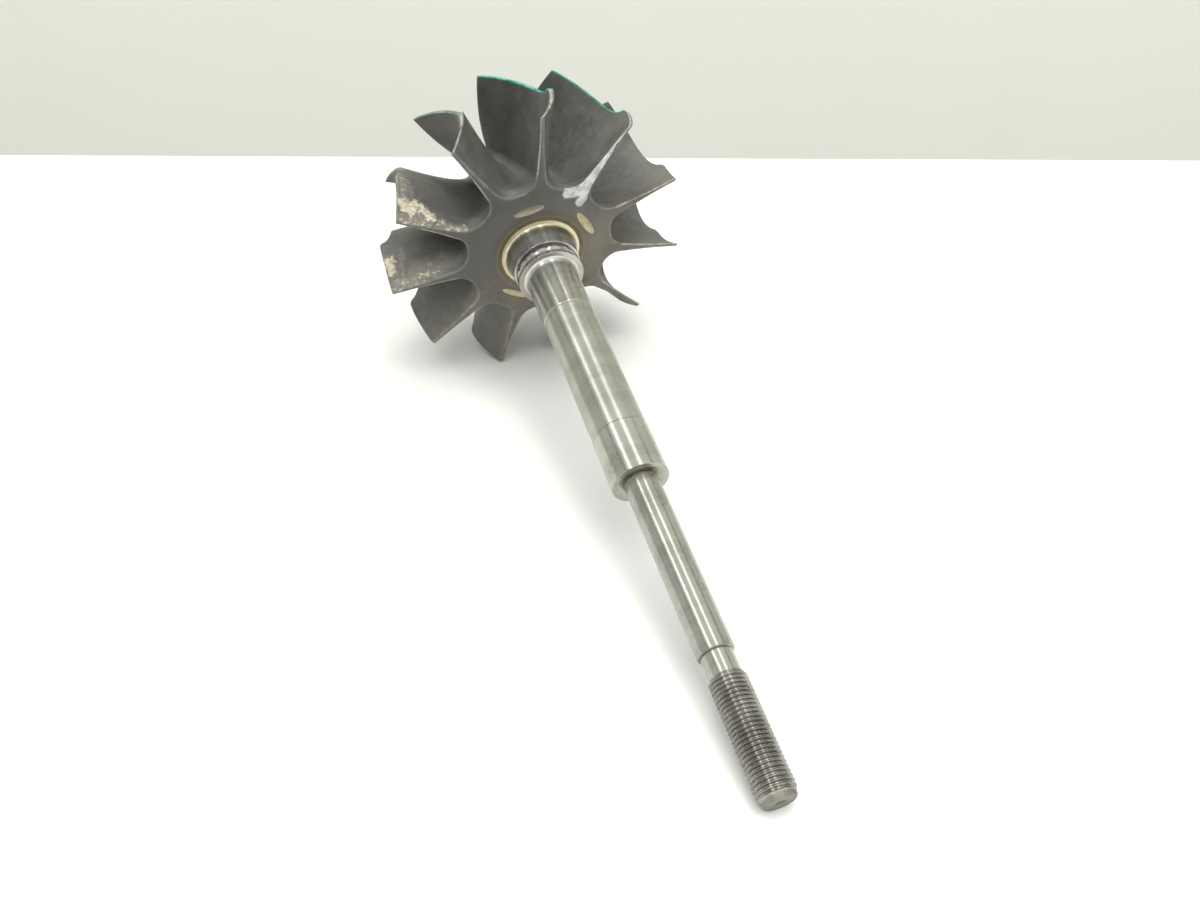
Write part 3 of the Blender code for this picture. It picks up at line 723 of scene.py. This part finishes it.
bpy.context.view_layer.update()
cutMesh = bpy.data.meshes.new_from_object(casting.evaluated_get(bpy.context.evaluated_depsgraph_get()))
casting.modifiers.clear()
casting.data = cutMesh
cutMesh.name = "wheelCasting"
cutMesh.set_sharp_from_angle(angle=math.radians(38))
bpy.data.objects.remove(grinderPiece)

# Shaft, piece by piece from the weld to the free end: (station, radius) outlines
shaft = {
    "steps": 160,
    "weldRing": ((0.00040, 0.01262), (0.00104, 0.01262), (0.00112, 0.01250), (0.00118, 0.0119), (0.00120, 0.0100)),
    # a hollow flare from the weld's face, then a slight taper along the drum
    "sealBoss": (*((0.00119 + 0.0062 * (1 - math.cos(step * math.pi / 32)),
                    0.0119 - 0.0009 * math.sin(step * math.pi / 32) - 0.00036 * (1 - math.cos(step * math.pi / 32)))
                   for step in range(17)), (0.00820, 0.01058)),
    "ringGroove": ((0.00820, 0.0099), (0.00940, 0.0099)),
    "sealLand": ((0.00940, 0.01022), (0.00985, 0.01022), (0.01110, 0.00988)),
    "sealLip": ((0.01110, 0.0097), (0.01128, 0.0097), (0.01136, 0.01020), (0.01176, 0.01026),
                (0.01182, 0.01006), (0.01194, 0.01006), (0.0120, 0.01032), (0.01275, 0.01032)),
    "turbineJournal": ((0.01275, 0.0088), (0.01295, 0.00838), (0.01335, 0.00811), (0.0140, 0.00797),
                       (0.0147, 0.0079375), (0.03135, 0.0079375), (0.0317, 0.0078)),
    "relievedMiddle": ((0.0317, 0.0078), (0.0784, 0.0078)),
    "compressorJournal": ((0.0784, 0.00780), (0.0785, 0.0079375), (0.0946, 0.0079375), (0.0946, 0.0062),
                          (0.0944, 0.0059)),
    "shaftSpindle": ((0.0943, 0.00474), (0.1465, 0.00474)),
    "threadNeck": ((0.1465, 0.0040), (0.1524, 0.0040)),
}


def shaftPiece(name, material, replaced, ease=0.00012):
    # long runs get a ring near each end, so that the eased edges don't bend their shading
    points = [Vector(point) for point in shaft[name]]
    outline = points[:1]
    for start, end in zip(points, points[1:]):
        share = 3 * ease / (end - start).length
        outline += [start.lerp(end, share), start.lerp(end, 1 - share), end] if share < 0.3 else [end]
    form = turnedForm([(outline[0].x, 0), *outline, (outline[-1].x, 0)], shaft["steps"])
    easeEdges(form, ease)
    return makePiece(form, name, [material], [replaced])


print("shaft")
shaftPiece("weldRing", weldStraw, "weld_ring", 0.00005)
shaftPiece("sealBoss", bossTint, "seal_boss", 0.00005)
shaftPiece("ringGroove", grooveSteel, "ring_groove")
shaftPiece("sealLand", landSteel, "seal_land", 0.0002)
shaftPiece("sealLip", landSteel, "seal_lip", 0.00006)
shaftPiece("turbineJournal", firstJournalSteel, "turbine_journal", 0.00005)
shaftPiece("relievedMiddle", middleSteel, "relieved_middle")
shaftPiece("compressorJournal", journalSteel, "compressor_journal", 0.00015)
shaftPiece("shaftSpindle", spindleSteel, "shaft_spindle", 0.00045)
shaftPiece("threadNeck", journalSteel, "thread_neck")

# Nut thread: one pitch of the ridge, spun along a helix and trimmed flat at both ends
thread = {
    "start": 0.1524, "end": 0.1814, "radius": 0.00474, "depth": 0.00062, "pitch": 0.0254 / 24,
    "steps": 64, "startRise": 0.9, "endRise": 0.8,      # how steeply the ridge runs out
    "taperFrom": 0.1800, "taper": 0.25,                 # crests worn down where the end rests on the floor
    "ridge": ((0.0, 0.0), (0.16, 0.0), (0.22, 0.12), (0.46, 0.93), (0.50, 1.0), (0.60, 1.0), (0.64, 0.93),
              (0.88, 0.12), (0.94, 0.0), (1.0, 0.0)),
}
threadEnd = {"start": 0.1814, "end": 0.18249, "radius": 0.00412, "chamfer": 0.0005,
             "hole": 0.0014, "holeDepth": 0.0014}


def threadForm():
    form = bmesh.new()
    root = thread["radius"] - thread["depth"]
    turns = math.ceil((thread["end"] - thread["start"]) / thread["pitch"]) + 2
    begin = thread["start"] - 1.5 * thread["pitch"]
    points = [form.verts.new((0, -begin - thread["pitch"] * share, root + thread["depth"] * high))
              for share, high in thread["ridge"]]
    edges = [form.edges.new(pair) for pair in zip(points, points[1:])]
    bmesh.ops.spin(form, geom=points + edges, cent=(0, 0, 0), axis=(0, 1, 0), angle=2 * math.pi * turns,
                   dvec=(0, -thread["pitch"] / thread["steps"], 0), steps=thread["steps"] * turns,
                   use_merge=False)
    bmesh.ops.remove_doubles(form, verts=form.verts, dist=2e-6)
    for station, side in ((thread["start"], 1), (thread["end"], -1)):
        bmesh.ops.bisect_plane(form, geom=form.verts[:] + form.edges[:] + form.faces[:], dist=1e-7,
                               plane_co=(0, -station, 0), plane_no=(0, side, 0), clear_outer=True)
    for corner in form.verts:
        station, radius = -corner.co.y, corner.co.xz.length
        limit = min(root - 0.0001 + (station - thread["start"]) * thread["startRise"],
                    root + (thread["end"] - station) * thread["endRise"],
                    thread["radius"] - max(0.0, station - thread["taperFrom"]) * thread["taper"])
        limit = max(limit, root - 0.0001)
        if radius > limit:
            corner.co = (corner.co.x * limit / radius, corner.co.y, corner.co.z * limit / radius)
    bmesh.ops.edgeloop_fill(form, edges=[edge for edge in form.edges if edge.is_boundary])
    bmesh.ops.recalc_face_normals(form, faces=form.faces)
    return form


print("thread")
makePiece(threadForm(), "nutThread", [threadSteel], ["shaft_thread"], 30)
endOutline = [(threadEnd["start"], 0), (threadEnd["start"], threadEnd["radius"]),
              (threadEnd["end"] - threadEnd["chamfer"], threadEnd["radius"]),
              (threadEnd["end"], threadEnd["radius"] - threadEnd["chamfer"]),
              (threadEnd["end"], threadEnd["hole"]),
              (threadEnd["end"] - threadEnd["holeDepth"], 0.0003),
              (threadEnd["end"] - threadEnd["holeDepth"] - 0.0001, 0)]
makePiece(turnedForm(endOutline, shaft["steps"]), "threadEnd", [endFaceSteel], ["thread_end"])

# Camera at the photo's place
view = {
    "place": (-0.0712964, -0.21599257, 0.19652161),
    "turn": (math.radians(51.32495), math.radians(0.93243), math.radians(-18.50569)),
    "lens": 30.4136,
}
cameraData = bpy.data.cameras.new("camera")
cameraData.lens = view["lens"]
cameraData.sensor_width = 36
cameraData.clip_start = 0.01
camera = bpy.data.objects.new("camera", cameraData)
camera.location = view["place"]
camera.rotation_euler = Euler(view["turn"], "XYZ")
bpy.context.scene.collection.objects.link(camera)
bpy.context.scene.camera = camera

# Stage: a plain pale floor and a plain sheet behind it
stage = {
    "edgePoint": Vector((0.0755, 0.2326, 0)), "turn": math.radians(-21.4), "floor": 3.0,
    "sheetGap": 0.30, "sheetHeight": 1.0,
    "floorTone": (0.72, 0.72, 0.705), "sheetTone": (0.87, 0.865, 0.785),
}
edgeFrame = Matrix.Translation(stage["edgePoint"]) @ Matrix.Rotation(stage["turn"], 4, "Z")


def stageFinish(name, tone, roughness):
    material, tree, shader = newMaterial(name)
    place = addNode(tree, "ShaderNodeTexCoord").outputs["Object"]
    cloud = noise(tree, place, 14.0, 3.0)
    darker = tuple(value * 0.97 for value in tone)
    tree.links.new(tint(tree, cloud, darker, tone), shader.inputs["Base Color"])
    shader.inputs["Roughness"].default_value = roughness
    return material


def stageSheet(name, width, height, matrix, material):
    form = bmesh.new()
    bmesh.ops.create_grid(form, x_segments=1, y_segments=1, size=0.5)
    bmesh.ops.scale(form, vec=(width, height, 1), verts=form.verts)
    bmesh.ops.transform(form, matrix=matrix, verts=form.verts)
    mesh = bpy.data.meshes.new(name)
    form.to_mesh(mesh)
    form.free()
    mesh.materials.append(material)
    piece = bpy.data.objects.new(name, mesh)
    bpy.context.scene.collection.objects.link(piece)


stageSheet("floor", stage["floor"], stage["floor"], edgeFrame @ Matrix.Translation((0, -stage["floor"] / 2, 0)),
           stageFinish("paleFloor", stage["floorTone"], 0.7))
stageSheet("backSheet", stage["floor"] * 1.5, stage["sheetHeight"],
           edgeFrame @ Matrix.Translation((0, stage["sheetGap"], 0)) @ Matrix.Rotation(math.pi / 2, 4, "X"),
           stageFinish("paleSheet", stage["sheetTone"], 0.9))

# Light: one broad soft light, a dim grey surround, two long tubes for the shaft's highlights, and wide
# panels that only show as reflections
light = {
    "surround": (0.95, 1.0, 0.97), "surroundStrength": 0.50, "colour": (1.0, 0.99, 0.96),
    # name, place, width, length, brightness, and the point it looks at
    "broad": ("broadLight", (0.1, -0.5, 1.9), 1.9, 1.9, 5.0, (0, 0, 0)),
    "tubes": (("tubeLeft", (-0.56, 0.35, 1.0), 0.15, 1.7, 3.8, (-0.56, 0.35, 0)),
              ("tubeRight", (0.14, 0.22, 1.0), 0.15, 1.6, 2.7, (0.14, 0.22, 0))),
    "panels": (("panelAbove", (0, 0, 2.4), 4.6, 6.0, 0.70, (0, 0, 0)),
               ("panelLeft", (-4.0, 0, 1.6), 8.0, 3.2, 0.36, (0, 0, 1.6)),
               ("panelRight", (4.0, 0, 1.6), 8.0, 3.2, 0.28, (0, 0, 1.6)),
               ("panelFront", (0, -4.0, 1.2), 8.0, 2.4, 1.1, (0, 0, 1.2))),
}
world = bpy.data.worlds.new("studio")
world.use_nodes = True
background = world.node_tree.nodes["Background"]
background.inputs["Color"].default_value = (*light["surround"], 1)
background.inputs["Strength"].default_value = light["surroundStrength"]
bpy.context.scene.world = world
bpy.context.scene.view_settings.view_transform = "Standard"


def softLight(name, place, width, length, brightness, aim):
    data = bpy.data.lights.new(name, "AREA")
    data.shape = "RECTANGLE"
    data.size, data.size_y = width, length
    data.energy = brightness * math.pi * width * length
    data.color = light["colour"]
    lamp = bpy.data.objects.new(name, data)
    lamp.location = place
    lamp.rotation_euler = (Vector(aim) - Vector(place)).to_track_quat("-Z", "Y").to_euler()
    bpy.context.scene.collection.objects.link(lamp)
    return lamp


softLight(*light["broad"]).visible_glossy = False
for tube in light["tubes"]:
    softLight(*tube)
for panel in light["panels"]:
    softLight(*panel).visible_diffuse = False
